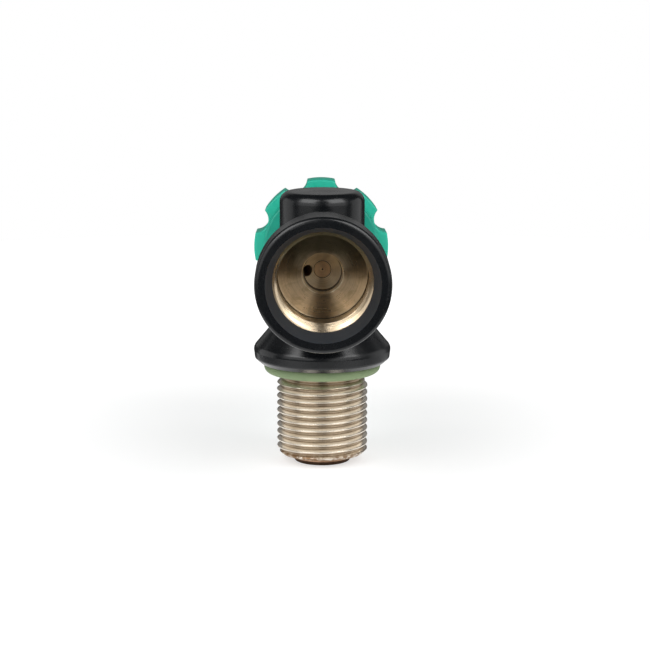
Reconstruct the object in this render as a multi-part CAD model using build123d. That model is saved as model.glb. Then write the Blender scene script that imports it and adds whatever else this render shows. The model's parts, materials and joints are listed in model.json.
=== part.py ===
"""In-line cylinder valve with a neck thread below, a threaded outlet in front and a
lobed handwheel behind. The outlet and the handwheel share one level axis.

Frame: +Z up the neck, +Y from the outlet towards the handwheel. The origin is on the
neck's axis, in the plane where the skirt seats on the cylinder. Sizes are millimetres.
"""
from build123d import *
import math
import os

os.makedirs("parts", exist_ok=True)

# ---------------------------------------------------------------- driving sizes
# where things are
axis_height = 26.8          # seat plane up to the outlet's axis
outlet_reach = 36.0         # neck axis forward to the outlet's face
barrel_reach = 24.0         # neck axis back to the barrel's rear face

# neck and skirt
neck_thread = 25.0          # M25 x 2
neck_pitch = 2.0
stem_length = 25.6          # seat plane down to the stem's end
stem_bore = 8.0
stem_chamfer = 1.2
journal_end = 2.8           # plain journal under the skirt that carries the O-ring
journal_clearance = 0.05
relief_turns = 0.8          # the undercut above the thread, in turns of its pitch
relief_below_root = 0.2
seat_land = 0.8             # flat ring of the skirt that meets the cylinder
recess_depth = 0.7
recess_clearance = 0.07
rim_overhang = 2.0          # the skirt's widest line outside its foot
rim_height = 4.35
rim_round = 2.0
rim_taper = 0.35            # narrower at the foot of the rim's side
rim_foot = 1.4              # height of the bevel under the rim
rim_foot_round = 0.8
skirt_slope = 40.0          # degrees from upright, the cone above the rim
trunk_diameter = 23.2
trunk_top = 20.4            # the outlet's axis up to the trunk's flat top
trunk_round = 2.8
trunk_blend = 2.5           # hollow radius where the cone meets the trunk

# O-ring of the neck, whose bore is the thread's diameter
neck_ring_section = 3.53

# inlet bush and filter in the stem's end
bush_flange = 16.0
bush_flange_height = 2.2
bush_flange_taper = 0.3
bush_shank = 12.0
bush_shank_length = 5.0
bush_shoulder = 0.8         # inside the stem's bore, where the bush ends
filter_diameter = 8.0
filter_length = 4.0
filter_wall = 1.5
filter_sunk = 0.6           # into the bush's mouth

# outlet collar and socket
collar_diameter = 35.6
collar_length = 11.0
collar_round = 1.2
tube_diameter = 28.6        # the body from the collar to past the trunk
tube_end = 13.5             # from the neck's axis
collar_taper = 3.0
collar_back_round = 1.0
tube_step_round = 0.6
body_blend = 2.0            # hollow radius where the tube meets the trunk
lead_in_mouth = 30.1
lead_in_end = 26.4
lead_in_depth = 6.0
outlet_bore = 24.2          # crest of the M26 x 2 thread, and the plain bore past it
outlet_depth = 21.0
pocket_mouth = 10.8
pocket_foot = 10.2
pocket_straight = 4.3
pocket_round = 0.4
pocket_depth = 7.4

# gas way
passage = 4.0               # up the middle, from the stem's bore to the nozzle
stem_bore_top = 12.0        # above the seat plane
orifice = 3.6
plug_diameter = 4.8
plug_length = 3.2
plug_mark = 0.9
port_diameter = 3.1
port_front = 3.95           # sideways from the axis, in the pocket
port_back = 6.1             # sideways from the axis, in the seat chamber
port_front_rise = 3.8       # where it starts, ahead of the pocket's floor
port_back_reach = 1.0       # where it ends, past the seat chamber's floor

# seat chamber and barrel
barrel_diameter = 26.0
barrel_round = 1.0
chamber_diameter = 16.4
chamber_floor = 6.0         # from the neck's axis
chamber_length = 4.0
nozzle_height = 1.5
nozzle_diameter = 6.0
nozzle_taper = 0.7
carrier_thread = 14.0       # M14 x 1
carrier_pitch = 1.0
bonnet_thread = 18.0
bonnet_shank = 4.0
thread_run_in = 0.6

# moving seat
turns_to_open = 2.3
seat_gap = 0.05             # between seat and nozzle when shut
running_clearance = 0.05    # radial, of each turning fit
carrier_length = 9.0
disc_diameter = 7.2
disc_thickness = 2.0
disc_sunk = 1.6
carrier_chamfer = 1.2
slot_depth = 6.0
tang_thickness = 2.4
tang_width = 8.0
tang_end_gap = 0.5          # left at the slot's foot when fully open
tang_side_gap = 0.1

# spindle, bonnet and their seals
spindle_diameter = 7.9
flange_inset = 1.2          # smaller than the carrier's thread, to pass through it
flange_thickness = 1.4
flange_gap = 0.4            # behind the carrier when fully open
washer_thickness = 0.8
end_float = 0.05
bonnet_across_flats = 24.0
bonnet_hex_length = 6.0
bonnet_chamfer = 1.0
bonnet_lead = 0.4
bonnet_mouth = 0.5
seal_section = 1.25
seal_groove_spare = 0.25
seal_land = 1.2             # spindle left between its two seals
first_seal_gap = 1.3        # bonnet's floor to the first seal
ring_spare = 0.02           # beside each ring, so that it only touches one wall
backup_thickness = 0.6
backup_play = 0.05
bonnet_ring_section = 1.6
bonnet_ring_bore = 18.4
bonnet_pocket_spare = 0.2
glide_thickness = 0.8
glide_diameter = 13.0
glide_bore_spare = 0.6

# handwheel
wheel_start = 32.8          # neck axis back to the wheel's near face
wheel_length = 13.2
wheel_diameter = 39.1
wheel_draft = 1.6           # degrees, narrower at the far end
wheel_lobes = 8
lobe_width = 8.2
scallop_depth = 2.6
wheel_edge = 0.9
wheel_near_edge = 0.54
web_diameter = 33.4
web_thickness = 2.4
web_round = 0.7
cup_diameter = 29.2
cup_wall = 2.0
cup_lip = 0.6               # the cup's mouth, short of the grip's far face
hub_diameter = 13.6
hub_start_gap = 0.3
square = 5.6
square_clearance = 0.05
hub_end = 38.6
square_short = 0.4          # the spindle's square, short of the hub's end
square_corner_off = 0.4
stud_diameter = 5.0
spring_length = 4.6
spring_wire = 0.9
spring_diameter = 9.4
spring_turns = 3
spring_washer_thickness = 0.8
spring_washer_diameter = 10.8
spring_washer_spare = 0.15
nut_across_flats = 8.0
nut_height = 3.0
stud_spare = 0.5
stud_chamfer = 0.5
nut_chamfer = 0.5
cap_wall = 1.5
cap_overhang = 0.9
cap_spigot = 2.2
cap_gap = 0.5
cap_round = 2.2
cap_brim = 1.0
cap_dome_inset = 3.0

# small edges
fine_round = 0.2
edge_round = 0.3
soft_round = 0.4
inner_round = 0.6
fillet_root = 1.0           # where the wheel's web meets its hub and wall

# ---------------------------------------------------------------- worked-out places
minor_depth = 0.61343       # depth of an ISO metric thread, as a share of its pitch
neck_ring_bore = neck_thread
seat_face = chamber_floor + nozzle_height
carrier_start = seat_face + seat_gap + disc_thickness - disc_sunk
seat_travel = turns_to_open * carrier_pitch
carrier_end = carrier_start + carrier_length
thread_end = barrel_reach - bonnet_shank
flange_start = carrier_end + seat_travel + flange_gap
washer_start = flange_start + flange_thickness + end_float
bonnet_front = barrel_reach - bonnet_shank + end_float
bonnet_floor = washer_start + washer_thickness
bonnet_back = barrel_reach + bonnet_hex_length
glide_end = bonnet_back + glide_thickness
hub_start = glide_end + hub_start_gap
tang_start = carrier_end - slot_depth + seat_travel + tang_end_gap
wheel_end = wheel_start + wheel_length
spring_end = hub_end + spring_length
nut_start = spring_end + spring_washer_thickness
nut_end = nut_start + nut_height
stud_end = nut_end + stud_spare
cap_inside = stud_end + cap_gap
cap_end = cap_inside + cap_wall
spindle_bore = spindle_diameter + 2 * running_clearance
outlet_floor = -outlet_reach + outlet_depth
pocket_floor = outlet_floor + pocket_depth
recess_radius = neck_ring_bore / 2 + neck_ring_section + recess_clearance
skirt_foot_radius = recess_radius + seat_land
rim_radius = skirt_foot_radius + rim_overhang
flange_diameter = carrier_thread - flange_inset
filter_start = -stem_length - bush_flange_height + filter_sunk
groove_floor = spindle_bore / 2 - seal_section
groove_length = seal_section + seal_groove_spare
first_seal = bonnet_floor + first_seal_gap
second_seal = first_seal + groove_length + seal_land
backup_start = second_seal + seal_section + 2 * backup_play
backup_end = backup_start + backup_thickness
cup_end = wheel_end - cup_lip

outlet_axis = Axis((0, 0, axis_height), (0, 1, 0))
along_outlet = Plane(origin=(0, 0, axis_height), x_dir=(0, 1, 0), z_dir=(1, 0, 0))


# ---------------------------------------------------------------- helpers
def outline(corners):
    """A closed outline from (x, y) or (x, y, round) corners."""
    points = [corner[:2] for corner in corners]
    rounds = [corner[2] if len(corner) == 3 else 0 for corner in corners]
    if not any(rounds):
        return make_face(Polyline(*points, close=True))
    return make_face(FilletPolyline(*points, radius=rounds, close=True))


def turned_up(corners):
    """A solid turned about the neck's axis from (radius, height) corners."""
    return revolve(Plane.XZ * outline(corners), Axis.Z)


def turned_along(corners):
    """A solid turned about the outlet's axis from (place along it, radius) corners."""
    return revolve(along_outlet * outline(corners), outlet_axis)


def rod(start, end, diameter):
    """A round bar on the outlet's axis."""
    radius = diameter / 2
    return turned_along([(start, 0), (start, radius), (end, radius), (end, 0)])


def facing_back(place):
    """The plane across the outlet's axis at a place along it, looking back."""
    return Plane(origin=(0, place, axis_height), x_dir=(1, 0, 0), z_dir=(0, 1, 0))


def prism_bar(start, end, face):
    """A bar with the given cross-section, on the outlet's axis."""
    return extrude(facing_back(start) * face, end - start)


def ring_at(place, bore, section):
    """An O-ring round the outlet's axis."""
    return facing_back(place) * Torus(bore / 2 + section / 2, section / 2)


def turned_hexagon(start, end, across_flats, chamfer):
    """A hexagon bar whose corners are turned off at both ends."""
    corner = across_flats / 2 / math.cos(math.radians(30))
    chamfer_rise = chamfer * math.tan(math.radians(30))
    blank = prism_bar(start, end, RegularPolygon(across_flats / 2, 6, major_radius=False))
    turned = turned_along([
        (start, 0), (start, corner - chamfer), (start + chamfer_rise, corner),
        (end - chamfer_rise, corner), (end, corner - chamfer), (end, 0),
    ])
    return blank & turned


def solid_of(shape):
    """The one solid in a result."""
    solids = shape.solids()
    assert len(solids) == 1, f"{len(solids)} solids where one is wanted"
    return solids[0]


# ---------------------------------------------------------------- body
def trunk():
    """Stem, skirt and trunk, without their bores."""
    trunk_radius = trunk_diameter / 2
    thread = neck_thread / 2
    journal = neck_ring_bore / 2 - journal_clearance
    groove = thread - minor_depth * neck_pitch - relief_below_root
    groove_end = journal_end + relief_turns * neck_pitch
    cone_top = rim_height + (rim_radius - trunk_radius) / math.tan(math.radians(skirt_slope))
    top = axis_height + trunk_top
    return turned_up([
        (0, top),
        (trunk_radius, top, trunk_round),
        (trunk_radius, cone_top, trunk_blend),
        (rim_radius, rim_height, rim_round),
        (rim_radius - rim_taper, rim_foot, rim_foot_round),
        (skirt_foot_radius, 0, edge_round),
        (recess_radius, 0),
        (recess_radius, recess_depth),
        (journal, recess_depth),
        (journal, -journal_end),
        (groove, -journal_end - (journal - groove)),
        (groove, -groove_end),
        (thread, -groove_end - (thread - groove)),
        (thread, -stem_length + stem_chamfer),
        (thread - stem_chamfer, -stem_length),
        (0, -stem_length),
    ])


def barrel():
    """Outlet collar, tube and rear barrel, without their bores."""
    collar_back = -outlet_reach + collar_length
    tube_start = collar_back + collar_taper
    return turned_along([
        (-outlet_reach, 0),
        (-outlet_reach, collar_diameter / 2, collar_round),
        (collar_back, collar_diameter / 2, collar_back_round),
        (tube_start, tube_diameter / 2, collar_back_round),
        (tube_end, tube_diameter / 2, tube_step_round),
        (tube_end + (tube_diameter - barrel_diameter) / 2, barrel_diameter / 2, tube_step_round),
        (barrel_reach, barrel_diameter / 2, barrel_round),
        (barrel_reach, 0),
    ])


def outlet_socket():
    """The hollow the regulator's connector screws into, and the pocket at its foot."""
    face = -outlet_reach
    bore_start = face + lead_in_depth + (lead_in_end - outlet_bore) / 2
    return turned_along([
        (face, 0),
        (face, lead_in_mouth / 2),
        (face + lead_in_depth, lead_in_end / 2),
        (bore_start, outlet_bore / 2),
        (outlet_floor, outlet_bore / 2, edge_round),
        (outlet_floor, pocket_mouth / 2, pocket_round),
        (outlet_floor + pocket_straight, pocket_foot / 2),
        (pocket_floor, plug_diameter / 2),
        (pocket_floor, 0),
    ])


def seat_chamber():
    """The hollow in the rear barrel: chamber, carrier thread and bonnet thread."""
    chamber_end = chamber_floor + chamber_length
    ring_foot = bonnet_ring_bore / 2 + bonnet_ring_section + running_clearance
    hollow = turned_along([
        (chamber_floor, 0),
        (chamber_floor, chamber_diameter / 2),
        (chamber_end, chamber_diameter / 2),
        (chamber_end + thread_run_in, carrier_thread / 2),
        (thread_end, carrier_thread / 2),
        (thread_end, bonnet_thread / 2),
        (barrel_reach - bonnet_ring_section, bonnet_thread / 2),
        (barrel_reach - bonnet_ring_section, ring_foot),
        (barrel_reach, ring_foot),
        (barrel_reach, 0),
    ])
    nozzle = turned_along([
        (chamber_floor, 0),
        (chamber_floor, nozzle_diameter / 2),
        (seat_face, nozzle_diameter / 2 - nozzle_taper, edge_round),
        (seat_face, 0),
    ])
    return hollow - nozzle


def gas_port():
    """The slanted way from the seat chamber past the inlet passage to the pocket."""
    front = Vector(-port_front, pocket_floor - port_front_rise, axis_height)
    back = Vector(-port_back, chamber_floor + port_back_reach, axis_height)
    along = Plane(origin=front, z_dir=back - front)
    reach = (back - front).length
    return along * Cylinder(port_diameter / 2, reach, align=(Align.CENTER, Align.CENTER, Align.MIN))


def forging():
    """Trunk and barrel as one blank, blended where they cross."""
    blank = trunk() + barrel()
    plain = (GeomType.CIRCLE, GeomType.LINE)
    crossing = [edge for edge in blank.edges() if edge.geom_type not in plain]
    return fillet(crossing, body_blend)


def valve_body():
    body = forging()
    body -= outlet_socket()
    body -= seat_chamber()
    body -= turned_up([
        (0, -stem_length), (stem_bore / 2, -stem_length), (stem_bore / 2, stem_bore_top),
        (passage / 2, stem_bore_top + (stem_bore - passage) / 2), (passage / 2, axis_height),
        (0, axis_height),
    ])
    body -= rod(pocket_floor + plug_length, seat_face, orifice)
    body -= rod(pocket_floor, pocket_floor + plug_length, plug_diameter)
    body -= gas_port()
    body -= inlet_seat()
    return solid_of(body)


# ---------------------------------------------------------------- inlet and its seals
def inlet_seat():
    """The counterbore in the stem's end that takes the inlet bush."""
    radius = bush_shank / 2
    return turned_up([
        (0, -stem_length), (radius, -stem_length),
        (radius, -stem_length + bush_shank_length), (0, -stem_length + bush_shank_length),
    ])


def inlet_bush():
    """The flanged bronze bush screwed into the stem's end, holding the filter."""
    flange = bush_flange / 2
    shank = bush_shank / 2
    bore = filter_diameter / 2
    shoulder = stem_bore / 2 - bush_shoulder
    bottom = -stem_length - bush_flange_height
    top = -stem_length + bush_shank_length
    return turned_up([
        (bore, bottom), (flange - bush_flange_taper, bottom, soft_round),
        (flange, -stem_length), (shank, -stem_length), (shank, top), (shoulder, top),
        (shoulder, filter_start + filter_length), (bore, filter_start + filter_length),
    ])


def inlet_filter():
    """The sintered bronze filter, a thimble closed at its inner end."""
    radius = filter_diameter / 2
    hollow = radius - filter_wall
    top = filter_start + filter_length
    return turned_up([
        (hollow, filter_start), (radius, filter_start), (radius, top), (0, top),
        (0, top - filter_wall), (hollow, top - filter_wall, inner_round),
    ])


def neck_o_ring():
    centre = recess_depth - neck_ring_section / 2
    radius = neck_ring_bore / 2 + neck_ring_section / 2
    return Pos(0, 0, centre) * Torus(radius, neck_ring_section / 2)


def outlet_plug():
    """The plug that closes the drilled gas way, with its centre mark."""
    radius = plug_diameter / 2
    mark = plug_mark / 2
    return turned_along([
        (pocket_floor + mark, 0), (pocket_floor, mark), (pocket_floor, radius),
        (pocket_floor + plug_length, radius), (pocket_floor + plug_length, 0),
    ])


# ---------------------------------------------------------------- moving seat
def seat_carrier():
    """The screwed plug that carries the seat. A slot in its back takes the tang."""
    radius = carrier_thread / 2 - running_clearance
    sunk = carrier_start + disc_sunk
    plug = turned_along([
        (sunk, 0), (sunk, disc_diameter / 2), (carrier_start, disc_diameter / 2),
        (carrier_start, radius - carrier_chamfer), (carrier_start + carrier_chamfer, radius),
        (carrier_end, radius, soft_round), (carrier_end, 0),
    ])
    slot = prism_bar(
        carrier_end - slot_depth,
        carrier_end,
        Rectangle(tang_thickness + 2 * tang_side_gap, tang_width + 2 * tang_side_gap),
    )
    return solid_of(plug - slot)


def seat_disc():
    radius = disc_diameter / 2
    front = carrier_start + disc_sunk - disc_thickness
    back = carrier_start + disc_sunk
    return turned_along([(front, 0), (front, radius, edge_round), (back, radius), (back, 0)])


# ---------------------------------------------------------------- spindle and bonnet
def upper_spindle():
    """Tang, flange, sealed journal, square and stud, in one piece."""
    journal = spindle_diameter / 2
    second_end = backup_end + backup_play
    square_end = hub_end - square_short
    body = turned_along([
        (flange_start, 0),
        (flange_start, flange_diameter / 2, fine_round),
        (flange_start + flange_thickness, flange_diameter / 2, fine_round),
        (flange_start + flange_thickness, journal),
        (first_seal, journal), (first_seal, groove_floor),
        (first_seal + groove_length, groove_floor), (first_seal + groove_length, journal),
        (second_seal, journal), (second_seal, groove_floor),
        (second_end, groove_floor), (second_end, journal),
        (hub_start, journal),
        (hub_start, 0),
    ])
    tang = prism_bar(tang_start, flange_start, Rectangle(tang_thickness, tang_width))
    drive = prism_bar(hub_start, square_end, Rectangle(square, square))
    drive &= rod(hub_start, square_end, square * math.sqrt(2) - 2 * square_corner_off)
    stud = turned_along([
        (square_end, 0), (square_end, stud_diameter / 2),
        (stud_end - stud_chamfer, stud_diameter / 2),
        (stud_end, stud_diameter / 2 - stud_chamfer), (stud_end, 0),
    ])
    return solid_of(body + tang + drive + stud)


def spindle_seal(groove_start):
    """An O-ring in a groove of the spindle, just clear of the bonnet's bore."""
    spare = running_clearance
    section = seal_section - spare
    return ring_at(groove_start + section / 2 + ring_spare, 2 * groove_floor, section)


def backup_ring():
    """The flat ring behind the outer seal."""
    inner = groove_floor + ring_spare
    outer = spindle_bore / 2 - running_clearance
    return turned_along([
        (backup_start, inner), (backup_start, outer), (backup_end, outer), (backup_end, inner),
    ])


def thrust_washer():
    end = washer_start + washer_thickness
    inner = spindle_bore / 2
    outer = flange_diameter / 2
    return turned_along([
        (washer_start, inner), (washer_start, outer), (end, outer), (end, inner),
    ])


def bonnet_nut():
    """The hexagon nut that closes the barrel and guides the spindle."""
    thread = bonnet_thread / 2
    bore = spindle_bore / 2
    pocket = flange_diameter / 2 + bonnet_pocket_spare
    shank = turned_along([
        (bonnet_front, 0), (bonnet_front, thread - bonnet_lead), (bonnet_front + bonnet_lead, thread),
        (barrel_reach, thread), (barrel_reach, 0),
    ])
    head = turned_hexagon(barrel_reach, bonnet_back, bonnet_across_flats, bonnet_chamfer)
    hollow = turned_along([
        (bonnet_front, 0), (bonnet_front, pocket), (bonnet_floor, pocket), (bonnet_floor, bore),
        (bonnet_back - bonnet_mouth, bore), (bonnet_back, bore + bonnet_mouth), (bonnet_back, 0),
    ])
    return solid_of(shank + head - hollow)


def bonnet_o_ring():
    return ring_at(barrel_reach - bonnet_ring_section / 2, bonnet_ring_bore, bonnet_ring_section)


def glide_washer():
    inner = spindle_bore / 2 + glide_bore_spare
    outer = glide_diameter / 2
    return turned_along([
        (bonnet_back, inner), (bonnet_back, outer),
        (glide_end, outer, fine_round), (glide_end, inner),
    ])


# ---------------------------------------------------------------- handwheel
def square_hole(start, end):
    side = square + 2 * square_clearance
    return prism_bar(start, end, Rectangle(side, side))


def wheel_core():
    """The stiff cup of the wheel: web in front, hub on the square, wall under the grip."""
    cup = cup_diameter / 2
    web = web_diameter / 2
    hub = hub_diameter / 2
    web_end = wheel_start + web_thickness
    core = turned_along([
        (hub_start, 0), (hub_start, hub, inner_round), (wheel_start, hub),
        (wheel_start, web, web_round), (web_end, web), (web_end, cup),
        (cup_end, cup), (cup_end, cup - cup_wall), (web_end, cup - cup_wall, fillet_root),
        (web_end, hub, fillet_root), (hub_end, hub, soft_round), (hub_end, 0),
    ])
    return solid_of(core - square_hole(hub_start, hub_end))


def lobed_outline():
    """The grip's outline: a circle with a round scallop between each two lobes."""
    outer = wheel_diameter / 2
    half_gap = math.pi / wheel_lobes - math.asin(lobe_width / 2 / outer)
    half_chord = outer * math.sin(half_gap)
    sagitta = outer * math.cos(half_gap) - (outer - scallop_depth)
    cutter = (half_chord ** 2 + sagitta ** 2) / (2 * sagitta)
    shape = Circle(outer)
    for index in range(wheel_lobes):
        angle = math.radians(90 + (index + 0.5) * 360 / wheel_lobes)
        place = outer - scallop_depth + cutter
        shape -= Pos(place * math.cos(angle), place * math.sin(angle)) * Circle(cutter)
    return shape


def wheel_grip():
    """The soft lobed tyre moulded on the cup."""
    start = wheel_start + web_thickness
    grip = extrude(facing_back(start) * lobed_outline(), wheel_end - start, taper=wheel_draft)
    across = Axis((0, 0, 0), (0, 1, 0))
    ends = grip.faces().sort_by(across)
    grip = fillet(ends[-1].edges(), wheel_edge)
    near = grip.faces().sort_by(across)[0]
    grip = fillet(near.edges(), wheel_near_edge)
    return solid_of(grip - rod(start, wheel_end, cup_diameter))


def wheel_spring():
    """A coil spring that holds the wheel on its square."""
    start = hub_end + spring_wire / 2 + ring_spare
    rise = spring_length - spring_wire - 2 * ring_spare
    radius = (spring_diameter - spring_wire) / 2
    path = facing_back(start) * Helix(rise / spring_turns, rise, radius)
    section = Plane(origin=path @ 0, z_dir=path % 0) * Circle(spring_wire / 2)
    return solid_of(sweep(section, path=path, is_frenet=True))


def spring_washer():
    inner = stud_diameter / 2 + spring_washer_spare
    outer = spring_washer_diameter / 2
    return turned_along([
        (spring_end, inner), (spring_end, outer, fine_round),
        (nut_start, outer, fine_round), (nut_start, inner),
    ])


def lock_nut():
    nut = turned_hexagon(nut_start, nut_end, nut_across_flats, nut_chamfer)
    return solid_of(nut - rod(nut_start, nut_end, stud_diameter))


def wheel_cap():
    """The domed cap snapped into the cup's mouth."""
    mouth = cup_diameter / 2 - cup_wall
    lid = mouth + cap_overhang
    dome = mouth - cap_dome_inset
    return turned_along([
        (cup_end - cap_spigot, mouth - cap_wall), (cup_end - cap_spigot, mouth),
        (cup_end, mouth), (cup_end, lid), (cup_end + cap_brim, lid, inner_round),
        (cap_end, dome, cap_round), (cap_end, 0), (cap_inside, 0),
        (cap_inside, dome - cap_wall, fillet_root), (wheel_end, mouth - cap_wall),
    ])


# ---------------------------------------------------------------- parts
parts = {
    "valve_body": valve_body(),
    "neck_o_ring": neck_o_ring(),
    "inlet_bush": inlet_bush(),
    "inlet_filter": inlet_filter(),
    "outlet_plug": outlet_plug(),
    "seat_carrier": seat_carrier(),
    "seat_disc": seat_disc(),
    "upper_spindle": upper_spindle(),
    "spindle_o_ring_inner": spindle_seal(first_seal),
    "spindle_o_ring_outer": spindle_seal(second_seal),
    "spindle_backup_ring": backup_ring(),
    "thrust_washer": thrust_washer(),
    "bonnet_nut": bonnet_nut(),
    "bonnet_o_ring": bonnet_o_ring(),
    "glide_washer": glide_washer(),
    "wheel_core": wheel_core(),
    "wheel_grip": wheel_grip(),
    "wheel_spring": wheel_spring(),
    "wheel_spring_washer": spring_washer(),
    "wheel_lock_nut": lock_nut(),
    "wheel_cap": wheel_cap(),
}
for node, shape in parts.items():
    export_step(shape, f"parts/{node}.step")
    print(node, round(shape.volume, 1))
print("seat travel", round(seat_travel, 3), "flange start", round(flange_start, 3))
print("bonnet floor", round(bonnet_floor, 3), "tang start", round(tang_start, 3))
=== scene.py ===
# %% [markdown]
# # An in-line cylinder valve
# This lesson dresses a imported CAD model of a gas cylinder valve. The frame comes first and
# is never changed: it says where every piece is, in metres, with +Z up the neck and +Y from
# the outlet's mouth towards the handwheel. What Blender adds is the surface of things:
# cut threads, soft edges, coat, plate, turned brass, rubber and moulded plastic.

# %% load the frame
import json
import math

import bmesh
import bpy
from mathutils import Matrix, Vector


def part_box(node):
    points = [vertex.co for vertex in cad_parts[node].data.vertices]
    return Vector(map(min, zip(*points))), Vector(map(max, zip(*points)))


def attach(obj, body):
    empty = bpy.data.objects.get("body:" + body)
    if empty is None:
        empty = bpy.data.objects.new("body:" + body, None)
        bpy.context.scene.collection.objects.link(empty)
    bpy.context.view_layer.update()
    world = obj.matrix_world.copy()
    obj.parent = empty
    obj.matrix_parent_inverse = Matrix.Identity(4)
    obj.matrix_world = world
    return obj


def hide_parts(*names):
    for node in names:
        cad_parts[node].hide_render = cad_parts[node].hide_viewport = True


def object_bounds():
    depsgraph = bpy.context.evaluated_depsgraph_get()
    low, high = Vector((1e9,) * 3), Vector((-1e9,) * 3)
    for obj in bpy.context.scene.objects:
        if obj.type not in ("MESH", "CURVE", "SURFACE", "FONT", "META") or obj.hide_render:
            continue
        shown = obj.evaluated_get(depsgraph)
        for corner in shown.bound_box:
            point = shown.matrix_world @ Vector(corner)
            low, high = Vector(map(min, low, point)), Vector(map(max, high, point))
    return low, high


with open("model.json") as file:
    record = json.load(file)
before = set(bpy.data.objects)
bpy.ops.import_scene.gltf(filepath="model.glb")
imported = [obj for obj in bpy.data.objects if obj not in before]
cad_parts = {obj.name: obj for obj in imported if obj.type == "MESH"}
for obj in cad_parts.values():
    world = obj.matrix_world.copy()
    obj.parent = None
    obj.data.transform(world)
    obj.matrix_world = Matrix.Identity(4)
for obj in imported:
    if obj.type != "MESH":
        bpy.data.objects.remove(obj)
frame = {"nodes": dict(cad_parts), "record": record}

cad_box = [list(corner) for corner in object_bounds()]
mounts = {mount["name"]: mount for mount in frame["record"]["mounts"]}
MM = 0.001
print("nodes", len(frame["nodes"]), "cad box in mm",
      [[round(value / MM, 2) for value in corner] for corner in cad_box])

# %% [markdown]
# Every place below is read from the frame. The outlet's mount gives the height of the level
# axis that the outlet and the handwheel share, and the bore at its thread's crests. The
# neck's mount gives the stem's thread in the same way. Both threads have a pitch of 2 mm,
# which a plain CAD wall can't tell. A thread's depth is a fixed share of its pitch, a little
# more for the one cut on the stem than for the one cut in the socket.

# %% places that the pieces share
outlet_mount = mounts["outlet_thread"]
neck_mount = mounts["neck_thread"]
axis_height = outlet_mount["pos_m"][2]
outlet_crest = outlet_mount["dims"]["r_mm"] * MM
neck_crest = neck_mount["dims"]["r_mm"] * MM
neck_half = neck_mount["dims"]["length_mm"] * MM / 2
outlet_half = outlet_mount["dims"]["length_mm"] * MM / 2
body_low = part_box("valve_body")[0]
pitch = 2.0 * MM
thread_depth = 0.5413 * pitch         # crest to root inside a socket
stem_thread_depth = 0.61343 * pitch   # crest to root on a stem
AXIS_POINT = Vector((0, 0, axis_height))
print("outlet axis at", round(axis_height / MM, 2), "mm, crests",
      round(outlet_crest / MM, 2), "and", round(neck_crest / MM, 2), "mm")

# %% [markdown]
# ## The stage
# The valve stands in a plain white studio. A pale floor takes its soft shadow, and a large
# white shell closes the view. The floor also glows, more with the distance from the valve,
# so that its edge is as white as the shell and no horizon shows. Its weaker glow near the
# valve adds a painted soft shadow to the real one. Neither of them is seen by gloss: a black
# glossy coat shows whatever is around it, and a room that is white all round would turn it
# grey. What the gloss shows is the softboxes instead.

# %% floor and backdrop
def link(thing):
    """Puts an object in the scene and returns it."""
    bpy.context.scene.collection.objects.link(thing)
    return thing


def object_from(bm, name):
    """Turns a bmesh into a scene object of that name."""
    mesh = bpy.data.meshes.new(name)
    bm.to_mesh(mesh)
    bm.free()
    return link(bpy.data.objects.new(name, mesh))


def shell_material(name, colour, strength):
    """A plain glow, for a backdrop that only the camera sees."""
    material = bpy.data.materials.new(name)
    material.use_nodes = True
    nodes = material.node_tree.nodes
    nodes.clear()
    glow = nodes.new("ShaderNodeEmission")
    glow.inputs["Color"].default_value = colour
    glow.inputs["Strength"].default_value = strength
    out = nodes.new("ShaderNodeOutputMaterial")
    material.node_tree.links.new(glow.outputs["Emission"], out.inputs["Surface"])
    return material


FLOOR_RADIUS = 0.46
SHELL_RADIUS = 2.4
# The weaker glow near the valve is a painted soft shadow round it.
GLOW_SPAN = (0.03, 0.3)       # metres from the origin where the glow starts and stops growing
GLOW_STRENGTH = (0.6, 1.0)    # the glow at those two distances
floor_level = cad_box[0][2] - 0.02 * MM
bm = bmesh.new()
bmesh.ops.create_circle(bm, cap_ends=True, segments=96, radius=FLOOR_RADIUS)
bmesh.ops.translate(bm, verts=bm.verts, vec=(0, 0, floor_level))
floor = object_from(bm, "studio_floor")
floor_look = bpy.data.materials.new("studio_floor")
floor_look.use_nodes = True
floor_shader = floor_look.node_tree.nodes["Principled BSDF"]
floor_shader.inputs["Base Color"].default_value = (0.5, 0.5, 0.5, 1)
floor_shader.inputs["Roughness"].default_value = 0.9
floor_shader.inputs["Specular IOR Level"].default_value = 0.0
floor_shader.inputs["Emission Color"].default_value = (1, 1, 1, 1)
floor_tree = floor_look.node_tree
floor_place = floor_tree.nodes.new("ShaderNodeTexCoord")
floor_reach = floor_tree.nodes.new("ShaderNodeVectorMath")
floor_reach.operation = "LENGTH"
floor_glow = floor_tree.nodes.new("ShaderNodeMapRange")
floor_glow.interpolation_type = "SMOOTHSTEP"
for name, number in zip(("From Min", "From Max", "To Min", "To Max"), GLOW_SPAN + GLOW_STRENGTH):
    floor_glow.inputs[name].default_value = number
floor_tree.links.new(floor_place.outputs["Object"], floor_reach.inputs[0])
floor_tree.links.new(floor_reach.outputs["Value"], floor_glow.inputs["Value"])
floor_tree.links.new(floor_glow.outputs["Result"], floor_shader.inputs["Emission Strength"])
floor.data.materials.append(floor_look)
floor.visible_glossy = False

bm = bmesh.new()
bmesh.ops.create_icosphere(bm, subdivisions=4, radius=SHELL_RADIUS)
backdrop = object_from(bm, "studio_shell")
backdrop.data.materials.append(shell_material("studio_shell", (1, 1, 1, 1), 1.0))
backdrop.visible_glossy = False
backdrop.visible_diffuse = False
backdrop.visible_shadow = False
backdrop.visible_transmission = False
print("floor at", round(floor_level / MM, 2), "mm")

# %% [markdown]
# A long lens from a little above keeps the outlet's rings nearly round. The camera aims
# below the outlet's axis and slightly to one side, which sets where the valve sits.
# Two wide softboxes stand left and right with a dark gap between them behind the camera, so
# each turned surface has two bright bands and a dark one. Two more are at the sides, and the
# brightest two are high up. A wide dim panel behind lights the wheel's back, and a small one
# just over the floor lights the stem and the O-ring from below, as a white card does.

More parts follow.
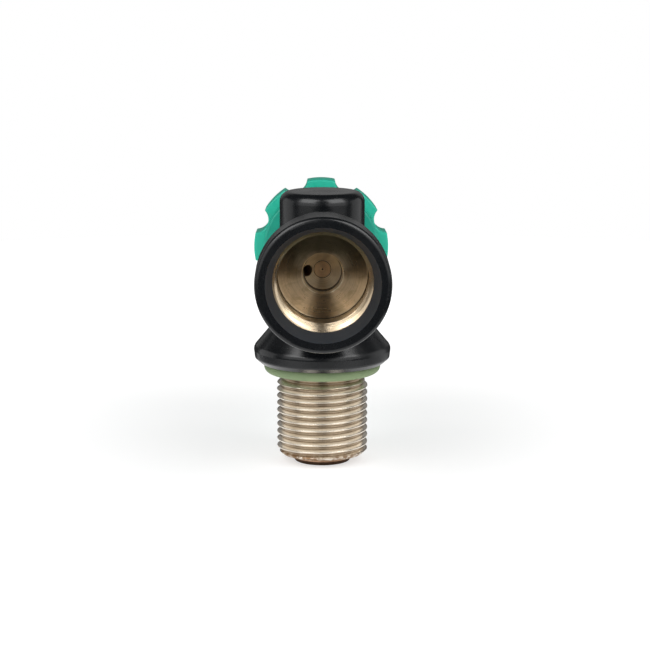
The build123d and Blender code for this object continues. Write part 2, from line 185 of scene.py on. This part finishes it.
# %% camera
IMAGE_SIDE = 650
SENSOR = 36.0
camera_distance = 0.55
camera_height_angle = math.radians(8.7)
camera_swing = math.radians(-0.45)
scale_at_axis = 3.65          # how large a millimetre at the neck's axis comes out, in a side of 650
aim_drop = 16.7 * MM
aim_side = 0.77 * MM

focal_in_images = scale_at_axis / MM * camera_distance / IMAGE_SIDE
lens = bpy.data.cameras.new("lens")
lens.sensor_width = SENSOR
lens.lens = focal_in_images * SENSOR
lens.clip_start = 0.01
lens.clip_end = 10
camera = link(bpy.data.objects.new("camera", lens))
away = Vector((
    math.sin(camera_swing) * math.cos(camera_height_angle),
    -math.cos(camera_swing) * math.cos(camera_height_angle),
    math.sin(camera_height_angle),
))
camera.location = AXIS_POINT + away * camera_distance
aim = AXIS_POINT + Vector((aim_side, 0, -aim_drop))
camera.rotation_euler = (aim - camera.location).to_track_quat("-Z", "Y").to_euler()
bpy.context.scene.camera = camera
print("lens", round(lens.lens, 1), "mm, camera at", [round(v, 3) for v in camera.location])


# %% softboxes
def panel(name, azimuth, elevation, distance, size, radiance):
    """A softbox facing the valve. Azimuth is from the camera's side, to its right."""
    turn, rise = math.radians(azimuth), math.radians(elevation)
    direction = Vector((math.sin(turn) * math.cos(rise),
                        -math.cos(turn) * math.cos(rise), math.sin(rise)))
    lamp = bpy.data.lights.new(name, "AREA")
    lamp.shape = "RECTANGLE"
    lamp.size, lamp.size_y = size
    lamp.energy = radiance * math.pi * size[0] * size[1]
    lamp_object = link(bpy.data.objects.new(name, lamp))
    lamp_object.location = AXIS_POINT + direction * distance
    lamp_object.rotation_euler = direction.to_track_quat("Z", "Y").to_euler()
    lamp_object.visible_camera = False
    return lamp_object


for side, name in ((-1, "left"), (1, "right")):
    panel("wall_" + name, side * 41, 14, 0.6, (0.62, 0.42), 1.1)
    panel("side_" + name, side * 108, 4, 0.6, (0.5, 0.5), 0.7)
    panel("over_" + name, side * 46, 46, 0.62, (0.44, 0.40), 3.8)
panel("rear", 180, 16, 0.7, (0.9, 0.34), 0.22)
under = panel("under", 0, -90, 0.05, (0.17, 0.17), 0.9)
under.location.z = floor_level + 1.0 * MM      # just over the floor, facing up

WORLD_STRENGTH = 0.04
world = bpy.data.worlds.new("studio")
bpy.context.scene.world = world
world.use_nodes = True
world.node_tree.nodes["Background"].inputs["Color"].default_value = (1, 1, 1, 1)
world.node_tree.nodes["Background"].inputs["Strength"].default_value = WORLD_STRENGTH
bpy.context.scene.view_settings.view_transform = "Standard"
print("softboxes", len(bpy.data.lights))

# %% [markdown]
# ## Finishes
# Every finish is a procedure on the object's own coordinates, so it stays put when a piece
# moves. Three ideas do most of the work. A turned surface carries marks that run round its
# axis, which is noise read from the distance to the axis and the place along it. It also
# stretches its highlights, so it's given a direction round the axis to stretch them by. And
# a handled surface varies in gloss from place to place.

# %% tools for building a finish
NECK = ((0, 0, 0), "Z")
OUTLET = ((0, 0, axis_height), "Y")


class Finish:
    """A material whose node tree is built up a call at a time."""

    def __init__(self, name, **shader):
        self.material = bpy.data.materials.new(name)
        self.material.use_nodes = True
        self.tree = self.material.node_tree
        self.shader = self.tree.nodes["Principled BSDF"]
        self.place = self.add("ShaderNodeTexCoord").outputs["Object"]
        self.set(**shader)

    def add(self, kind, settings=None, inputs=None):
        """Adds a node, sets its properties, and sets or links its inputs."""
        node = self.tree.nodes.new(kind)
        for key, value in (settings or {}).items():
            setattr(node, key, value)
        for key, value in (inputs or {}).items():
            self.put(node.inputs[key], value)
        return node

    def put(self, socket, value):
        """Links another node's socket, or sets a plain value."""
        if isinstance(value, bpy.types.NodeSocket):
            self.tree.links.new(value, socket)
        else:
            socket.default_value = value

    def set(self, **shader):
        """Sets the shader's inputs, with underscores for the spaces in their names."""
        for key, value in shader.items():
            if isinstance(value, tuple) and len(value) == 3 and key != "Tangent":
                value = (*value, 1)
            self.put(self.shader.inputs[key.replace("_", " ")], value)

    def sum(self, operation, a, b=0.0, c=0.0):
        """One step of arithmetic on numbers or sockets."""
        return self.add("ShaderNodeMath", {"operation": operation},
                        {0: a, 1: b, 2: c}).outputs[0]

    def vector(self, operation, a, b=(0, 0, 0)):
        """One step of arithmetic on vectors. A length comes out as a number."""
        node = self.add("ShaderNodeVectorMath", {"operation": operation}, {0: a, 1: b})
        return node.outputs["Value" if operation == "LENGTH" else "Vector"]

    def noise(self, scale, detail=3.0, roughness=0.5, where=None, distortion=0.0):
        """Cloudy noise from 0 to 1, in features per metre."""
        return self.add("ShaderNodeTexNoise", None, {
            "Vector": where or self.place, "Scale": scale, "Detail": detail,
            "Roughness": roughness, "Distortion": distortion,
        }).outputs["Fac"]

    def span(self, value, low, high, to_low=0.0, to_high=1.0):
        """Maps a value from one span to another, smoothly and held at its ends."""
        node = self.add("ShaderNodeMapRange", {"interpolation_type": "SMOOTHSTEP"})
        for key, number in zip(("Value", "From Min", "From Max", "To Min", "To Max"),
                               (value, low, high, to_low, to_high)):
            self.put(node.inputs[key], number)
        return node.outputs["Result"]

    def mix(self, share, a, b):
        """A colour between a and b."""
        node = self.add("ShaderNodeMix", {"data_type": "RGBA"}, {0: share})
        for index, value in ((6, a), (7, b)):
            self.put(node.inputs[index], (*value, 1) if isinstance(value, tuple) else value)
        return node.outputs[2]

    def round_axis(self, axis):
        """The distance from an axis, the place along it, and the direction round it."""
        point, letter = axis
        offset = self.vector("SUBTRACT", self.place, point)
        apart = self.add("ShaderNodeSeparateXYZ", None, {0: offset})
        flat = (1, 1, 0) if letter == "Z" else (1, 0, 1)
        radius = self.vector("LENGTH", self.vector("MULTIPLY", offset, flat))
        direction = (0, 0, 1) if letter == "Z" else (0, 1, 0)
        across = self.vector("CROSS_PRODUCT", direction, offset)
        tangent = self.add("ShaderNodeVectorTransform", {
            "vector_type": "VECTOR", "convert_from": "OBJECT", "convert_to": "WORLD",
        }, {0: across})
        return radius, apart.outputs[letter], self.vector("NORMALIZE", tangent.outputs[0])

    def turned(self, axis, scale, drift=0.02):
        """Marks left by a lathe tool: noise that hardly changes on the way round the axis."""
        radius, along, tangent = self.round_axis(axis)
        self.place_up = self.add("ShaderNodeSeparateXYZ", None, {0: self.place}).outputs["Z"]
        small = self.vector("SCALE", self.place)
        small.node.inputs["Scale"].default_value = drift
        grooves = self.add("ShaderNodeCombineXYZ", None, {0: radius, 1: along})
        where = self.vector("ADD", grooves.outputs[0], small)
        return self.noise(scale, 2.0, 0.6, where), radius, along, tangent

    def bump(self, height, strength, distance, under=None):
        """A relief: a height of 1 stands for the distance. It goes on top of one under it."""
        node = self.add("ShaderNodeBump", None, {
            "Height": height, "Strength": strength, "Distance": distance,
        })
        if under is not None:
            self.put(node.inputs["Normal"], under)
        return node.outputs["Normal"]

    def put_on(self, *pieces):
        """Makes this the only finish of each piece."""
        for piece in pieces:
            piece.data.materials.clear()
            piece.data.materials.append(self.material)


print("finish builder ready")

# %% [markdown]
# The body is a brass forging under a black coat. The coat is smooth but not a mirror: its
# gloss drifts, it has a faint orange peel, a few fine scuffs, and dust settled in it. The
# outlet's lead-in is the same black over a turned cone, so it's duller and ringed, and its
# lighter grey is a painted sheen of the lights that the cone reflects.

# %% black coats
BLACK_PAINT = (0.0038, 0.0046, 0.0056)
DUST = (0.05, 0.05, 0.05)
coat = Finish("black_coat", Specular_IOR_Level=0.5)
drift = coat.noise(90, 4.0)
fine = coat.noise(2600, 2.0)
speck = coat.span(coat.noise(5200, 1.0), 0.70, 0.78)
scuff_stretch = coat.add("ShaderNodeMapping", None, {
    "Vector": coat.place, "Rotation": (0.3, 0.9, 0.2), "Scale": (1, 0.04, 0.6)})
scuff = coat.span(coat.noise(1500, 3.0, 0.6, scuff_stretch.outputs[0]), 0.62, 0.72)
coat.set(
    Base_Color=coat.mix(coat.sum("MULTIPLY", speck, 0.35), BLACK_PAINT, DUST),
    Roughness=coat.sum("ADD", coat.span(drift, 0.3, 0.7, 0.2, 0.3),
                       coat.sum("MULTIPLY", scuff, 0.12)),
    Normal=coat.bump(coat.noise(700, 2.0), 0.10, 0.00006,
                     coat.bump(fine, 0.05, 0.00002)),
)

cone_coat = Finish("turned_black_coat", Specular_IOR_Level=0.5)
rings, _, _, tangent = cone_coat.turned(OUTLET, 5200)
cone_coat.set(
    # These greys, lighter than the body's black, are a painted sheen of the lights; the ring pattern
    # between them is the turning's grain.
    Base_Color=cone_coat.mix(rings, (0.016, 0.019, 0.023), (0.030, 0.035, 0.042)),
    Roughness=cone_coat.span(rings, 0.3, 0.7, 0.38, 0.52),
    Anisotropic=0.4,
    Anisotropic_Rotation=0.25,
    Tangent=tangent,
    Normal=cone_coat.bump(rings, 0.25, 0.00003),
)
print("black coats ready")

# %% [markdown]
# Inside the socket the brass is bare and straight off the lathe. It has a ring pattern, so
# its highlights spread into fans from the centre, and it has tarnished olive and brown in
# patches. Towards the top of the socket it is darkened with painted shade, away from the bright
# middle. Fine dark lines of painted shade run round the edges of the socket's floor, the pocket
# and the plug, with a dark dot of painted shade in the plug's centre mark. The stem is plated,
# with painted shade in its thread's roots and plate worn off at its foot.

# %% turned metals
def turned_metal(name, axis, bright, dull, rough, grain=4200, streak=0.6, stain=0.5, depth=0.2):
    """A lathe-turned metal with a tarnish. Returns the finish."""
    finish = Finish(name, Metallic=1.0, Anisotropic=streak, Anisotropic_Rotation=0.25)
    rings, radius, along, tangent = finish.turned(axis, grain)
    cloud = finish.noise(260, 5.0, 0.62, distortion=0.6)
    patch = finish.sum("MULTIPLY", finish.span(cloud, 0.42, 0.68), stain)
    tint = finish.mix(patch, bright, dull)
    shade = finish.span(rings, 0.3, 0.7, 0.0, 0.3)
    finish.tint = finish.mix(shade, tint, tuple(0.72 * value for value in dull))
    finish.rough = finish.sum("ADD", finish.span(rings, 0.3, 0.7, rough[0], rough[1]),
                              finish.sum("MULTIPLY", patch, 0.15))
    finish.radius, finish.along = radius, along
    finish.set(Base_Color=finish.tint, Roughness=finish.rough, Tangent=tangent,
               Normal=finish.bump(rings, depth, 0.00003))
    return finish


brass = turned_metal("bare_brass", OUTLET, (0.74, 0.57, 0.37), (0.36, 0.27, 0.155),
                     (0.27, 0.36), streak=0.97, stain=0.6, depth=0.05)
bore_brass = turned_metal("bore_brass", OUTLET, (0.80, 0.65, 0.46), (0.48, 0.36, 0.22),
                          (0.24, 0.34), streak=0.8, stain=0.4, depth=0.12)
pocket_brass = turned_metal("pocket_brass", OUTLET, (0.98, 0.84, 0.62), (0.72, 0.56, 0.36),
                            (0.36, 0.46), streak=0.9, stain=0.3, depth=0.1)
plug_metal = turned_metal("copper_brass", OUTLET, (0.95, 0.66, 0.38), (0.62, 0.38, 0.20),
                          (0.48, 0.58), streak=0.9, stain=0.3, depth=0.1)
print("bare brass ready")

# %% painted shade and edge lines
# Painted shade darkens the socket's brass towards its top, outside a bright middle.
TOP_SHADE_COLOUR = (0.17, 0.155, 0.09)
TOP_SHADE_FULLEST = axis_height + 9 * MM      # where it's fullest
UNSHADED_MIDDLE = (5.0 * MM, 7.0 * MM)    # inside the first radius the brass stays bright
for finish, low, share in ((brass, -3, 0.8), (bore_brass, -1, 0.92)):
    top_shade = finish.span(finish.place_up, axis_height + low * MM, TOP_SHADE_FULLEST, 0.0, share)
    top_shade = finish.sum("MULTIPLY", top_shade, finish.span(finish.radius, *UNSHADED_MIDDLE))
    finish.tint = finish.mix(top_shade, finish.tint, TOP_SHADE_COLOUR)
    finish.set(Base_Color=finish.tint)

# Painted shade: dark lines round the edges of the socket's floor, the pocket and the plug, and a
# dark dot in the plug's centre mark.
EDGE_SHADE_COLOUR = (0.05, 0.035, 0.02)
LINE_SHARE = 0.85
pocket_line = 5.1 * MM
plug_line = 2.4 * MM
for finish, radius, width in ((brass, outlet_crest + 0.1 * MM, 0.16 * MM),
                              (pocket_brass, pocket_line, 0.16 * MM),
                              (plug_metal, plug_line, 0.2 * MM),
                              (plug_metal, 0, 0.32 * MM)):
    off_line = finish.sum("ABSOLUTE", finish.sum("SUBTRACT", finish.radius, radius))
    edge_shade = finish.span(off_line, width / 2, width, LINE_SHARE, 0.0)
    finish.tint = finish.mix(edge_shade, finish.tint, EDGE_SHADE_COLOUR)
    finish.set(Base_Color=finish.tint)
print("painted shade and edge lines laid")

# %% plate, steel and bronze
bright_metal = turned_metal("bright_brass", OUTLET, (0.84, 0.66, 0.38), (0.6, 0.44, 0.2),
                            (0.18, 0.28), streak=0.5, stain=0.3)

plate = turned_metal("nickel_plate", NECK, (0.93, 0.86, 0.75), (0.78, 0.68, 0.55),
                     (0.22, 0.34), streak=0.35, stain=0.4, depth=0.12)
# Painted shade darkens the stem's plate towards its thread's roots.
ROOT_SHADE_COLOUR = (0.46, 0.37, 0.27)
BARE_METAL = (0.28, 0.17, 0.09)
stem_foot = neck_mount["pos_m"][2] - neck_half
root = plate.span(plate.radius, neck_crest - thread_depth * 1.1, neck_crest - thread_depth * 0.6)
root_shaded = plate.mix(root, ROOT_SHADE_COLOUR, plate.tint)
near_foot = plate.span(plate.along, stem_foot - 0.5 * MM, stem_foot + 0.9 * MM, 1, 0)
worn = plate.sum("MULTIPLY", near_foot, plate.span(plate.noise(620, 4.0, 0.7), 0.40, 0.56))
plate.set(Base_Color=plate.mix(worn, root_shaded, BARE_METAL),
          Roughness=plate.sum("ADD", plate.rough, plate.sum("MULTIPLY", worn, 0.2)))

nut_plate = turned_metal("nut_plate", OUTLET, (0.46, 0.44, 0.41), (0.33, 0.305, 0.265),
                         (0.36, 0.48), streak=0.2, stain=0.35, depth=0.08)
steel = turned_metal("steel", OUTLET, (0.66, 0.66, 0.65), (0.44, 0.42, 0.39),
                     (0.2, 0.32), streak=0.3, stain=0.35, depth=0.1)

bronze = turned_metal("bronze", NECK, (0.50, 0.295, 0.19), (0.20, 0.105, 0.062),
                      (0.32, 0.48), streak=0.2, stain=0.95, depth=0.2)
sinter = Finish("sintered_bronze", Metallic=1.0, Roughness=0.62)
grains = sinter.add("ShaderNodeTexVoronoi", None, {"Vector": sinter.place, "Scale": 3600.0})
sinter.set(Base_Color=sinter.mix(sinter.span(grains.outputs["Distance"], 0.1, 0.6),
                                 (0.46, 0.29, 0.17), (0.10, 0.055, 0.03)),
           Normal=sinter.bump(grains.outputs["Distance"], 0.8, -0.00012))
print("metals ready")

# %% [markdown]
# The handwheel is moulded twice: a stiff teal cup first, then a softer tyre over it. The
# tyre's lighter teal is partly its own colour and partly a painted sheen of the light on its
# lobes. Both have a spark-eroded mould grain, which is a fine even bump, and gloss that has
# been rubbed up where hands go. The O-rings are matt, and the small washers are a
# translucent white acetal.

# %% plastics and rubbers
def moulded(name, light, dark, rough, grain=2400, depth=0.25, subsurface=0.0, rub=0.3):
    """A moulded plastic or rubber with a fine grain and uneven gloss."""
    finish = Finish(name, Subsurface_Weight=subsurface, Subsurface_Scale=0.0015)
    cloud = finish.noise(120, 4.0, 0.6)
    pores = finish.noise(grain, 3.0, 0.7)
    rubbed = finish.span(finish.noise(60, 5.0, 0.65), 0.45, 0.7)
    finish.set(
        Base_Color=finish.mix(finish.span(cloud, 0.3, 0.7), light, dark),
        Roughness=finish.sum("SUBTRACT", finish.span(pores, 0.3, 0.7, rough[0], rough[1]),
                             finish.sum("MULTIPLY", rubbed, rub * rough[0])),
        Normal=finish.bump(pores, depth, 0.00005),
    )
    return finish


# The tyre's lighter teal is partly its own colour and partly a painted sheen of the light on its
# lobes.
teal_core = moulded("teal_plastic", (0.003, 0.31, 0.215), (0.002, 0.27, 0.185), (0.36, 0.5),
                    depth=0.12)
teal_tyre = moulded("teal_rubber", (0.011, 0.43, 0.30), (0.006, 0.38, 0.26), (0.36, 0.52),
                    depth=0.3)
green_ring = moulded("green_rubber", (0.150, 0.205, 0.098), (0.120, 0.172, 0.08),
                     (0.6, 0.75), grain=3200, depth=0.2)
black_ring = moulded("black_rubber", (0.016, 0.016, 0.017), (0.010, 0.010, 0.011), (0.5, 0.65),
                     grain=3000, depth=0.2)
white_part = moulded("white_plastic", (0.78, 0.77, 0.73), (0.70, 0.68, 0.63), (0.35, 0.5),
                     depth=0.1, subsurface=0.2)
seat_part = moulded("seat_plastic", (0.60, 0.56, 0.47), (0.5, 0.46, 0.37), (0.35, 0.5),
                    depth=0.1, subsurface=0.1)
print("plastics and rubbers ready")

# %% [markdown]
# ## The body
# The forging's skin is the CAD solid itself, with its doubles merged and each corner's own
# normal kept, so that a highlight runs cleanly over the blends between trunk and tube. Two
# plain walls are moved out of the way for real threads: the socket's bore goes outwards and
# the stem's wall goes inwards. Then each face takes the finish of the zone that it's in: the
# plated stem and its O-ring's recess, the black lead-in cone, the pocket, and the bare brass
# of the socket and of the bores inside. The rest is coated black.

# %% distances and edges
def from_neck(point):
    """How far a point is from the neck's axis."""
    return math.hypot(point.x, point.y)


def from_outlet(point):
    """How far a point is from the outlet's axis."""
    return math.hypot(point.x, point.z - axis_height)


def smooth_piece(piece, angle):
    """Smooth shading, kept sharp at edges that turn by more than an angle in degrees."""
    mesh = piece.data
    mesh.shade_smooth()
    mesh.set_sharp_from_angle(angle=math.radians(angle))
    return piece


print("helpers ready")

# %% zones of the body
start_chamfer = 1.1 * MM
runout = thread_depth + 0.35 * MM
lead_end = outlet_mount["pos_m"][1] - outlet_half - start_chamfer
socket_floor = outlet_mount["pos_m"][1] + outlet_half
liner_back = outlet_crest + 1.3 * MM
stem_core = neck_crest - 2.0 * MM
groove_end = neck_mount["pos_m"][2] + neck_half + runout

HAIR = 0.01 * MM              # a tolerance on where one surface ends and the next begins
BEHIND_WALL = 0.05 * MM       # how far the CAD's bore goes behind the thread's ring
wall_band = 1.05 * MM         # how far from the crests a point still belongs to the wall
thread_start = -4.6 * MM      # the stem's wall below the O-ring
recess_top = 1.3 * MM
recess_radius = 16.15 * MM
cone_radius = 15.04 * MM
pocket_radius = 5.6 * MM
pocket_end = -6.5 * MM
floor_end = -7.0 * MM
stem_way = 5.0 * MM
axis_way = 8.3 * MM
barrel_bore = 10.9 * MM
barrel_start = 22.0 * MM
bore_zone = outlet_crest + 1.2 * MM
print("socket from", round(lead_end / MM, 2), "to", round(socket_floor / MM, 2), "mm")

# %% body skin
source = frame["nodes"]["valve_body"].data.copy()
kept = source.attributes.new("kept_normal", "FLOAT_VECTOR", "CORNER")
kept.data.foreach_set("vector", [value for normal in source.corner_normals
                                 for value in normal.vector])
bm = bmesh.new()
bm.from_mesh(source)
bmesh.ops.remove_doubles(bm, verts=bm.verts, dist=1e-7)
moved_out = moved_in = 0
for vert in bm.verts:
    out = from_outlet(vert.co)
    in_bore = lead_end + HAIR < vert.co.y < socket_floor + 2 * HAIR
    if in_bore and abs(out - outlet_crest) < wall_band:
        share = (liner_back + BEHIND_WALL) / out
        vert.co.x *= share
        vert.co.z = axis_height + (vert.co.z - axis_height) * share
        moved_out += 1
    around = from_neck(vert.co)
    if vert.co.z < thread_start and around > stem_core:
        vert.co.x *= stem_core / around
        vert.co.y *= stem_core / around
        moved_in += 1
BLACK, CONE, BRASS, PLATE, POCKET = range(5)
for face in bm.faces:
    middle = face.calc_center_median()
    out = from_outlet(middle)
    if middle.z < recess_top and from_neck(middle) < recess_radius:
        face.material_index = PLATE
    elif body_low.y + HAIR < middle.y < lead_end and out < cone_radius:
        face.material_index = CONE
    elif out < pocket_radius and socket_floor < middle.y < pocket_end:
        face.material_index = POCKET
    elif out < bore_zone and lead_end - HAIR < middle.y < floor_end:
        face.material_index = BRASS
    elif from_neck(middle) < stem_way and middle.z < axis_height:
        face.material_index = BRASS
    elif out < axis_way or (out < barrel_bore and middle.y > barrel_start):
        face.material_index = BRASS
    else:
        face.material_index = BLACK
    face.smooth = True
skin = object_from(bm, "body_skin")
skin_normals = skin.data.attributes["kept_normal"].data
skin.data.normals_split_custom_set([tuple(item.vector) for item in skin_normals])
skin.data.attributes.remove(skin.data.attributes["kept_normal"])
for finish in (coat, cone_coat, brass, plate, pocket_brass):
    skin.data.materials.append(finish.material)
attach(skin, "body")
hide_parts("valve_body")
print("body skin:", len(skin.data.polygons), "faces;", moved_out, "points out,", moved_in, "in")

# %% [markdown]
# ## The threads
# A lathe cuts a thread by feeding a V-shaped tool one pitch along for each turn, and `spin`
# with an offset does the same: one pitch of the profile goes round and climbs as it goes.
# Its turns meet edge to edge, so merging makes one wall. Then the ends are cut square, the
# chamfers are turned by holding each point's radius, and a plain back closes the ring.

# %% thread cutter
MERGE = 0.003 * MM


def thread_profile(crest, root, crest_share, root_share):
    """One pitch from crest to crest as (radius, place) pairs, with softened corners."""
    soft = 0.018
    rise, foot = crest_share / 2, 0.5 - root_share / 2
    steps = [(0.0, 0.0), (rise - soft, 0.0), (rise, 0.015), (rise + soft, 0.055)]
    steps += [(rise + (foot - rise) * share, share) for share in (0.25, 0.5, 0.75)]
    steps += [(foot - soft, 0.945), (foot, 0.985), (foot + soft, 1.0), (0.5, 1.0)]
    steps += [(1 - place, depth) for place, depth in reversed(steps[:-1])]
    return [(crest + (root - crest) * depth, place * pitch) for place, depth in steps]


def threaded_ring(name, profile, low, high, limit, back, outer, steps=144):
    """A threaded ring about Z from low to high. limit(place, radius) trims each radius."""
    bm = bmesh.new()
    first = low - 1.5 * pitch
    turns = math.ceil((high - low) / pitch) + 3
    verts = [bm.verts.new((radius, 0, first + place)) for radius, place in profile]
    edges = [bm.edges.new(pair) for pair in zip(verts, verts[1:])]
    bmesh.ops.spin(bm, geom=verts + edges, cent=(0, 0, 0), axis=(0, 0, 1),
                   dvec=(0, 0, pitch / steps), angle=math.tau, steps=steps,
                   use_duplicate=False)
    one_turn = bm.verts[:] + bm.edges[:] + bm.faces[:]
    for number in range(1, turns):
        copied = bmesh.ops.duplicate(bm, geom=one_turn)["geom"]
        bmesh.ops.translate(bm, vec=(0, 0, pitch * number), verts=[
            item for item in copied if isinstance(item, bmesh.types.BMVert)])
    bmesh.ops.remove_doubles(bm, verts=bm.verts, dist=MERGE)
    for place, side in ((low, -1), (high, 1)):
        bmesh.ops.bisect_plane(bm, geom=bm.verts[:] + bm.edges[:] + bm.faces[:], dist=1e-7,
                               plane_co=(0, 0, place), plane_no=(0, 0, side),
                               clear_outer=True)
    bmesh.ops.remove_doubles(bm, verts=bm.verts, dist=MERGE)
    for vert in bm.verts:
        radius = math.hypot(vert.co.x, vert.co.y)
        wanted = limit(vert.co.z, radius)
        vert.co.x *= wanted / radius
        vert.co.y *= wanted / radius
    backs = []
    for place in (low, high):
        rim = [edge for edge in bm.edges if edge.is_boundary
               and all(abs(vert.co.z - place) < HAIR for vert in edge.verts)]
        grown = bmesh.ops.extrude_edge_only(bm, edges=rim)["geom"]
        for vert in (item for item in grown if isinstance(item, bmesh.types.BMVert)):
            radius = math.hypot(vert.co.x, vert.co.y)
            vert.co.x *= back / radius
            vert.co.y *= back / radius
        backs += [item for item in grown if isinstance(item, bmesh.types.BMEdge)
                  and item.is_boundary]
    bmesh.ops.bridge_loops(bm, edges=backs)
    bmesh.ops.recalc_face_normals(bm, faces=bm.faces)
    ring = object_from(bm, name)
    if not outer:
        ring.data.transform(Matrix.Translation(AXIS_POINT) @ Matrix.Rotation(
            math.radians(-90), 4, "X"))
    return smooth_piece(ring, angle=32)


print("thread cutter ready")

# %% stem thread
stem_chamfer = 1.2 * MM
stem_bottom = neck_mount["pos_m"][2] - neck_half - stem_chamfer
groove_radius = neck_crest - stem_thread_depth - 0.2 * MM


def stem_limit(place, radius):
    """The stem's thread runs out into the groove above and a chamfer below."""
    upper = groove_radius + (groove_end - place)
    lower = neck_crest - stem_chamfer + (place - stem_bottom)
    return max(min(radius, upper, lower), groove_radius)


stem_thread = threaded_ring(
    "neck_thread_cut",
    thread_profile(neck_crest, neck_crest - stem_thread_depth, crest_share=0.14, root_share=0.16),
    stem_bottom, groove_end, stem_limit, back=stem_core, outer=True)
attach(stem_thread, "body")
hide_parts("valve_body")
plate.put_on(stem_thread)
print("stem thread:", len(stem_thread.data.polygons), "faces")

# %% socket thread
relief = -22.0 * MM                       # the groove that the thread ends in
relief_half = 0.35 * MM
relief_cut = outlet_crest + 0.7 * MM
plain_bore = outlet_crest + 0.4 * MM      # from the relief to the floor
floor_cut = outlet_crest + 0.75 * MM      # the groove that the tool leaves at the floor
floor_cut_width = 0.55 * MM


def socket_limit(place, radius):
    """The socket's thread starts in a chamfer and ends in a relief and a plain bore."""
    if place > socket_floor - floor_cut_width:
        return floor_cut
    if place > relief + relief_half:
        return plain_bore
    if place > relief - relief_half:
        return relief_cut
    return max(radius, outlet_crest + start_chamfer - (place - lead_end))


socket_thread = threaded_ring(
    "outlet_thread_cut",
    thread_profile(outlet_crest, outlet_crest + thread_depth * 0.97, crest_share=0.22,
                   root_share=0.14),
    lead_end, socket_floor + 6 * HAIR, socket_limit, back=liner_back, outer=False)
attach(socket_thread, "body")
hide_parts("valve_body")
bore_brass.put_on(socket_thread)
print("socket thread:", len(socket_thread.data.polygons), "faces")

# %% [markdown]
# ## The handwheel's tyre
# The tyre is cast round the cup, with eight lobes to pull on and a shallow scallop between
# each two. It's lofted here from rings: a circle is made once, each ring takes the lobed
# outline, and the next grows from it by extruding its edges. The first and last few rings
# follow a quarter circle, which makes the soft rims, and the ones between follow the draft
# that lets it out of its mould.

# %% lobed outline
grip_low, grip_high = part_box("wheel_grip")
cup_radius = 14.6 * MM
tyre_radius = 19.55 * MM
lobes = 8
lobe_half_width = 4.1 * MM
lobe_half = math.asin(lobe_half_width / tyre_radius)
scallop = 2.6 * MM
draft = math.tan(math.radians(1.6))
corner_soft = 0.4 * MM
gap_half = math.pi / lobes - lobe_half
chord_half = tyre_radius * math.sin(gap_half)
rise = tyre_radius * math.cos(gap_half) - (tyre_radius - scallop)
cutter = (chord_half ** 2 + rise ** 2) / (2 * rise)
cutter_place = tyre_radius - scallop + cutter
near_rim, far_rim = 0.55 * MM, 0.9 * MM
tyre_length = grip_high.y - grip_low.y
segments = 480


def lobed_radius(angle):
    """The tyre's radius at an angle from straight up, with the lobes' corners softened."""
    off = (angle + math.pi / lobes) % (math.tau / lobes) - math.pi / lobes
    from_gap = math.pi / lobes - abs(off)
    inside = cutter ** 2 - (cutter_place * math.sin(from_gap)) ** 2
    hollow = math.inf
    if inside > 0:
        hollow = cutter_place * math.cos(from_gap) - math.sqrt(inside)
    far = abs(hollow - tyre_radius)
    return min(hollow, tyre_radius) - max(corner_soft - far, 0) ** 2 / (4 * corner_soft)


RIM_STEPS = 5
quarter = [math.pi / 2 * index / RIM_STEPS for index in range(RIM_STEPS + 1)]
stations = [(near_rim * (1 - math.cos(turn)), near_rim * (1 - math.sin(turn)))
            for turn in quarter]
stations += [(tyre_length - far_rim * (1 - math.sin(turn)), far_rim * (1 - math.cos(turn)))
             for turn in quarter]
print("rings in the tyre's outline:", len(stations))

# %% loft of the tyre
bm = bmesh.new()
ring = bmesh.ops.create_circle(bm, segments=segments, radius=1.0)["verts"]
edges = bm.edges[:]
first_edges = edges
for number, (place, inset) in enumerate(stations + [(tyre_length, None), (0, None)]):
    if number:
        grown = bmesh.ops.extrude_edge_only(bm, edges=edges)["geom"]
        ring = [item for item in grown if isinstance(item, bmesh.types.BMVert)]
        edges = [item for item in grown if isinstance(item, bmesh.types.BMEdge)
                 and all(vert in set(ring) for vert in item.verts)]
    for vert in ring:
        angle = math.atan2(vert.co.x, vert.co.z if number else vert.co.y)
        radius = cup_radius if inset is None else lobed_radius(angle) - inset - draft * place
        vert.co = (radius * math.sin(angle), place, radius * math.cos(angle))
bmesh.ops.bridge_loops(bm, edges=first_edges + edges)
bmesh.ops.translate(bm, verts=bm.verts, vec=(0, grip_low.y, axis_height))
bmesh.ops.recalc_face_normals(bm, faces=bm.faces)
tyre = smooth_piece(object_from(bm, "handwheel_tyre"), angle=40)
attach(tyre, "handwheel")
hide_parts("wheel_grip")
teal_tyre.put_on(tyre)
print("tyre:", len(tyre.data.polygons), "faces")

# %% [markdown]
# ## The other pieces
# The rest of the valve keeps its CAD shape, which is already exact, and takes its finish:
# seals, washers, the screwed seat, the spindle and the nut that holds it in.

# %% finishes on the kept pieces
for finish, names in (
    (green_ring, ("neck_o_ring",)),
    (bronze, ("inlet_bush",)),
    (sinter, ("inlet_filter",)),
    (plug_metal, ("outlet_plug",)),
    (bright_metal, ("seat_carrier",)),
    (seat_part, ("seat_disc",)),
    (steel, ("upper_spindle", "wheel_spring", "wheel_spring_washer", "wheel_lock_nut")),
    (black_ring, ("spindle_o_ring_inner", "spindle_o_ring_outer", "bonnet_o_ring")),
    (white_part, ("spindle_backup_ring", "thrust_washer", "glide_washer")),
    (nut_plate, ("bonnet_nut",)),
    (teal_core, ("wheel_core", "wheel_cap")),
):
    finish.put_on(*(frame["nodes"][name] for name in names))
print("finishes on", len(frame["nodes"]), "nodes")
